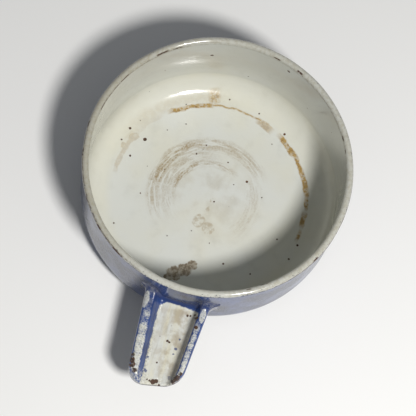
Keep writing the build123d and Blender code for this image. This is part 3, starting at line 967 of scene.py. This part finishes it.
jacket = turned("bowl_blue_enamel", jacket_out + jacket_back[::-1], SEGMENTS)
lining = turned("bowl_white_enamel", lining_back + lining_front[::-1], SEGMENTS)
bowl_ground = wall_layer("bowl_ground_enamel", COVER, SHEET - COVER)
bowl_steel = wall_layer("bowl_steel", COVER + GROUND, SHEET - COVER - GROUND)
handle_blue = handle_shell("handle_blue_enamel", 0.0, SHEET, window=True)
handle_white = handle_panel("handle_white_enamel")
handle_ground = handle_shell("handle_ground_enamel", COVER, SHEET - COVER, stride=2)
handle_steel = handle_shell("handle_steel", COVER + GROUND, SHEET - COVER - GROUND, stride=2)
weld_beads = warped_copy("handle_welds", "handle_weld_beads")
bowl_metal = steel_material("pressed_steel", STEEL, STEEL_DARK)
handle_metal = steel_material("handle_sheet_steel", STEEL, STEEL_DARK)
weld_metal = steel_material("weld_bead_metal", WELD, WELD_DARK)

for piece, node, slot_name, material in (
    (lining, "bowl_white_lining", "white_enamel", lining_material()),
    (jacket, "bowl_blue_jacket", "blue_enamel", jacket_material()),
    (bowl_ground, "bowl_ground_coat", "ground_enamel", ground_material()),
    (bowl_steel, "bowl_pressing", "sheet_steel", bowl_metal),
    (handle_blue, "handle_blue_coat", "blue_enamel", handle_material("handle_blue")),
    (handle_white, "handle_white_panel", "white_enamel", handle_material("handle_white")),
    (handle_ground, "handle_ground_coat", "ground_enamel", ground_material()),
    (handle_steel, "handle_pressing", "sheet_steel", handle_metal),
    (weld_beads, "handle_weld_beads", "weld_metal", weld_metal),
):
    piece.data.materials.append(material)
    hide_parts(node)


# ---------------------------------------------------------------- stage, light and camera
def directed(azimuth, elevation):
    """Unit vector towards an azimuth counted from -Y towards +X, and an elevation."""
    turn, rise = math.radians(azimuth), math.radians(elevation)
    return Vector((math.sin(turn) * math.cos(rise), -math.cos(turn) * math.cos(rise), math.sin(rise)))


def lamp(name, towards, distance, size, watts, colour):
    data = bpy.data.lights.new(name, "AREA")
    data.shape = "DISK"
    data.size = size * MM
    data.energy = watts
    data.color = colour
    made = bpy.data.objects.new(name, data)
    made.location = towards * distance * MM
    made.rotation_euler = towards.to_track_quat("Z", "Y").to_euler()
    bpy.context.scene.collection.objects.link(made)
    return made


floor_mesh = bpy.data.meshes.new("stage_floor")
FLOOR_REACH, FLOOR_DROP = 3000.0, 0.2  # the floor is just below the base, so that no faces coincide
corners = [(-1, -1), (1, -1), (1, 1), (-1, 1)]
floor_verts = [(a * FLOOR_REACH * MM, b * FLOOR_REACH * MM, -FLOOR_DROP * MM) for a, b in corners]
floor_mesh.from_pydata(floor_verts, [], [(0, 1, 2, 3)])
floor = bpy.data.objects.new("stage_floor", floor_mesh)
bpy.context.scene.collection.objects.link(floor)
paper = Shader("stage_paper")
paper.feed(paper.bsdf.inputs["Base Color"], paper.mix(paper.noise(0.9, 3.0), PAPER_DARK, PAPER_LIGHT))
paper.bsdf.inputs["Roughness"].default_value = 0.9
floor_mesh.materials.append(paper.material)

world = bpy.data.worlds.new("soft_room")
world.use_nodes = True
background = world.node_tree.nodes["Background"]
background.inputs["Color"].default_value = (*ROOM, 1.0)
background.inputs["Strength"].default_value = ROOM_STRENGTH
bpy.context.scene.world = world
KEY_DIRECTION = Vector((0.338, -0.402, 0.851)).normalized()
KEY_DISTANCE, KEY_SIZE, KEY_WATTS, KEY_SHINE = 700.0, 105.0, 4.5, 0.45
key = lamp("key_lamp", KEY_DIRECTION, KEY_DISTANCE, KEY_SIZE, KEY_WATTS, LAMP)
key.data.specular_factor = KEY_SHINE

VIEW_AZIMUTH, VIEW_ELEVATION, VIEW_ROLL = 3.3, 71.0, 12.9
VIEW_AIM, VIEW_DISTANCE = Vector((0.94, -18.99, 43.6)), 633.8
SENSOR, FOCAL, NEAREST = 36.0, 138.46, 10.0
back = directed(VIEW_AZIMUTH, VIEW_ELEVATION)
right = (-back).cross(Vector((0, 0, 1))).normalized()
up = right.cross(-back)
roll = math.radians(VIEW_ROLL)
camera_x = right * math.cos(roll) + up * math.sin(roll)
camera_y = up * math.cos(roll) - right * math.sin(roll)
place = (VIEW_AIM + back * VIEW_DISTANCE) * MM
camera_data = bpy.data.cameras.new("camera")
camera_data.sensor_width = SENSOR
camera_data.lens = FOCAL
camera_data.clip_start = NEAREST * MM
camera = bpy.data.objects.new("camera", camera_data)
camera.matrix_world = Matrix((
    (camera_x.x, camera_y.x, back.x, place.x),
    (camera_x.y, camera_y.y, back.y, place.y),
    (camera_x.z, camera_y.z, back.z, place.z),
    (0, 0, 0, 1),
))
bpy.context.scene.collection.objects.link(camera)
bpy.context.scene.camera = camera
bpy.context.scene.view_settings.view_transform = "Standard"
